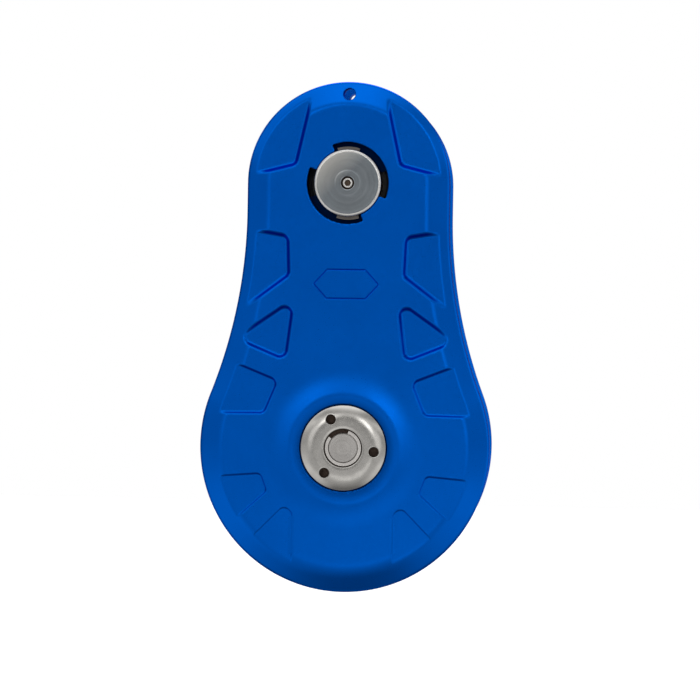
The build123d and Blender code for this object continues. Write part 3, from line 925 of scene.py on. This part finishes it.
def towards(azimuth, elevation):
    """A direction from the block: azimuth to the right of the front, elevation above level."""
    a, e = math.radians(azimuth), math.radians(elevation)
    return (math.sin(a) * math.cos(e), -math.cos(a) * math.cos(e), math.sin(e))


def glow(tree, place, direction, core, rim, level):
    """A soft round patch of light: full inside the core angle, gone at the rim angle."""
    facing = node(tree, "ShaderNodeVectorMath", operation="DOT_PRODUCT")
    tree.links.new(place, facing.inputs[0])
    facing.inputs[1].default_value = direction
    fade = node(tree, "ShaderNodeMapRange", interpolation_type="SMOOTHSTEP")
    limits = (math.cos(math.radians(rim)), math.cos(math.radians(core)), 0.0, level)
    for key, number in zip(("From Min", "From Max", "To Min", "To Max"), limits):
        fade.inputs[key].default_value = number
    tree.links.new(facing.outputs["Value"], fade.inputs["Value"])
    return fade.outputs["Result"]


# Patches of light round the block: azimuth, elevation, core angle, rim angle, level.
GLOWS = [
    (12, 13, 3, 8, 3.3),
    (-15, 15, 2, 8, 2.4),
    (26, 3, 4, 14, 0.85),
    (-26, 6, 3, 12, 0.75),
    (95, 5, 16, 38, 0.5),
    (-95, 5, 16, 38, -0.15),
    (-60, 45, 8, 22, 0.6),
    (58, 4, 16, 34, 0.12),
    (-58, 4, 16, 34, 0.21),
    (0, 54, 10, 26, 0.6),
    (48, -36, 6, 26, 0.42),
    (-48, -36, 6, 26, 0.42),
]
# The light's level at each elevation, in degrees.
LEVELS = [
    (-90, 0.50), (-70, 0.32), (-54, 0.22), (-38, 0.48), (-24, 0.74), (-12, 0.65),
    (-4, 0.50), (4, 0.40), (12, 0.42), (18, 0.80), (23, 1.10), (28, 0.64),
    (33, 0.46), (41, 0.52), (48, 1.06), (62, 1.06), (75, 0.90), (90, 0.80),
]


def studio_world():
    """Light all round from LEVELS and GLOWS, with a white backdrop for the camera."""
    world = bpy.data.worlds.new("studio")
    bpy.context.scene.world = world
    world.use_nodes = True
    tree = world.node_tree
    background = tree.nodes["Background"]
    place = tree.nodes.new("ShaderNodeTexCoord").outputs["Generated"]
    parts = tree.nodes.new("ShaderNodeSeparateXYZ")
    tree.links.new(place, parts.inputs["Vector"])
    ramp = tree.nodes.new("ShaderNodeValToRGB")
    height = ranged(tree, parts.outputs["Z"], 0, 1, -1, 1)
    tree.links.new(height, ramp.inputs["Fac"])
    elements = ramp.color_ramp.elements
    elements.remove(elements[1])
    for index, (elevation, level) in enumerate(LEVELS):
        at = (math.sin(math.radians(elevation)) + 1) / 2
        element = elements[0] if index == 0 else elements.new(at)
        element.position = at
        element.color = (level, level, level, 1)
    total = ramp.outputs["Color"]
    for azimuth, elevation, core, rim, level in GLOWS:
        added = node(tree, "ShaderNodeMath", operation="ADD")
        tree.links.new(total, added.inputs[0])
        tree.links.new(glow(tree, place, towards(azimuth, elevation), core, rim, level), added.inputs[1])
        total = added.outputs["Value"]
    camera_ray = tree.nodes.new("ShaderNodeLightPath").outputs["Is Camera Ray"]
    seen = node(tree, "ShaderNodeMath", operation="MAXIMUM")
    tree.links.new(total, seen.inputs[0])
    tree.links.new(camera_ray, seen.inputs[1])
    tree.links.new(seen.outputs["Value"], background.inputs["Color"])


def softbox(name, place, aim, size, power):
    """A square area light that isn't seen by the camera."""
    data = bpy.data.lights.new(name, "AREA")
    data.shape, data.size, data.energy = "SQUARE", size, power
    light = bpy.data.objects.new(name, data)
    light.location = place
    light.rotation_euler = (Vector(aim) - Vector(place)).to_track_quat("-Z", "Y").to_euler()
    light.visible_camera = False
    bpy.context.scene.collection.objects.link(light)


SENSOR_WIDTH, SEEN_WIDTH, CAMERA_ROLL = 36.0, 0.2905, 0.96  # millimetres, metres, degrees


def camera():
    """A long lens a little to the right and above the hub, rolled one degree."""
    aim = Vector((0.00215, -FACE * MM, 0.04073))
    place = Vector((0.095, -FACE * MM - 1.2, 0.062))
    data = bpy.data.cameras.new("camera")
    data.sensor_width = SENSOR_WIDTH
    data.lens = SENSOR_WIDTH * (aim - place).length / SEEN_WIDTH
    made = bpy.data.objects.new("camera", data)
    turn = (aim - place).to_track_quat("-Z", "Y").to_matrix()
    rolled = turn @ Matrix.Rotation(math.radians(CAMERA_ROLL), 3, "Z")
    made.matrix_world = Matrix.Translation(place) @ rolled.to_4x4()
    bpy.context.scene.collection.objects.link(made)
    bpy.context.scene.camera = made


floor()
studio_world()
softbox("overhead_rear", (0.0, 0.7, 1.2), (0.0, 0.0, 0.05), 1.0, 6)
softbox("low_front", (0.0, -1.0, -0.24), (0.0, -0.02, -0.03), 0.32, 0.19)
camera()
bpy.context.scene.view_settings.view_transform = "Standard"
